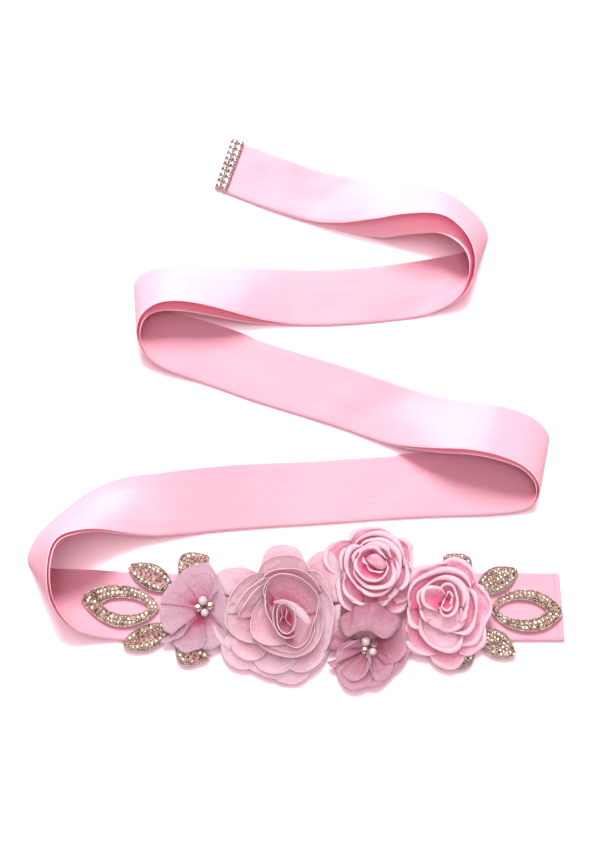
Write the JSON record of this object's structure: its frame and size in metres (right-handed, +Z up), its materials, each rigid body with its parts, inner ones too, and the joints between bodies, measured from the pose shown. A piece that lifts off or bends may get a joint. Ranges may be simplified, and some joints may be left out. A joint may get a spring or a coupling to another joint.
{
  "type": "ribbon sash",
  "caption": "Doubled satin ribbon sash laid in a zigzag, its front dressed with fabric roses and blooms between beaded leaf appliques.",
  "frame": {"origin": "centre of the footprint on the surface that the sash lies on", "axes": "+X along the front leg towards its folded end, +Y from the front leg towards the tail, +Z up"},
  "size_m": [0.3079, 0.3671, 0.0356],
  "materials": {
    "satin": "pale pink double-faced satin",
    "chiffon": "sheer pink chiffon",
    "lilac_chiffon": "sheer lilac pink chiffon",
    "rose_satin": "rose pink satin, rolled",
    "pearl": "pearl",
    "stone": "cut stones in silver settings",
    "beadwork": "silver and champagne glass beads on net"
  },
  "bodies": {
    "root": {"big_rose_cup_petals": "chiffon", "big_rose_heart": "chiffon", "big_rose_outer_petals": "chiffon", "big_rose_second_petals": "chiffon", "big_rose_third_petals": "chiffon", "front_bloom_large_pearl": "pearl", "front_bloom_left_stone": "stone", "front_bloom_lower_petals": "lilac_chiffon", "front_bloom_right_stone": "stone", "front_bloom_small_pearl": "pearl", "front_bloom_upper_petals": "lilac_chiffon", "front_end_fold": "satin", "left_bloom_large_pearl": "pearl", "left_bloom_left_stone": "stone", "left_bloom_lower_petals": "lilac_chiffon", "left_bloom_right_stone": "stone", "left_bloom_small_pearl": "pearl", "left_bloom_upper_petals": "lilac_chiffon", "left_bottom_leaf": "beadwork", "left_leaf_loop": "beadwork", "left_lower_leaf": "beadwork", "left_top_leaf": "beadwork", "left_upper_leaf": "beadwork", "lower_leg_1": "satin", "lower_leg_2": "satin", "lower_leg_3": "satin", "lower_leg_4": "satin", "lower_leg_5": "satin", "lower_turn_1": "satin", "lower_turn_2": "satin", "lower_turn_3": "satin", "lower_turn_4": "satin", "right_bottom_leaf": "beadwork", "right_leaf_loop": "beadwork", "right_lower_leaf": "beadwork", "right_rose_coiled_heart": "rose_satin", "right_rose_inner_petals": "rose_satin", "right_rose_middle_petals": "rose_satin", "right_rose_outer_petals": "rose_satin", "right_top_leaf": "beadwork", "right_upper_leaf": "beadwork", "tail_stone_band": "stone", "top_rose_coiled_heart": "rose_satin", "top_rose_inner_petals": "rose_satin", "top_rose_middle_petals": "rose_satin", "top_rose_outer_petals": "rose_satin", "upper_leg_1": "satin", "upper_leg_2": "satin", "upper_leg_3": "satin", "upper_leg_4": "satin", "upper_leg_5": "satin", "upper_turn_1": "satin", "upper_turn_2": "satin", "upper_turn_3": "satin", "upper_turn_4": "satin"}
  },
  "joints": []
}
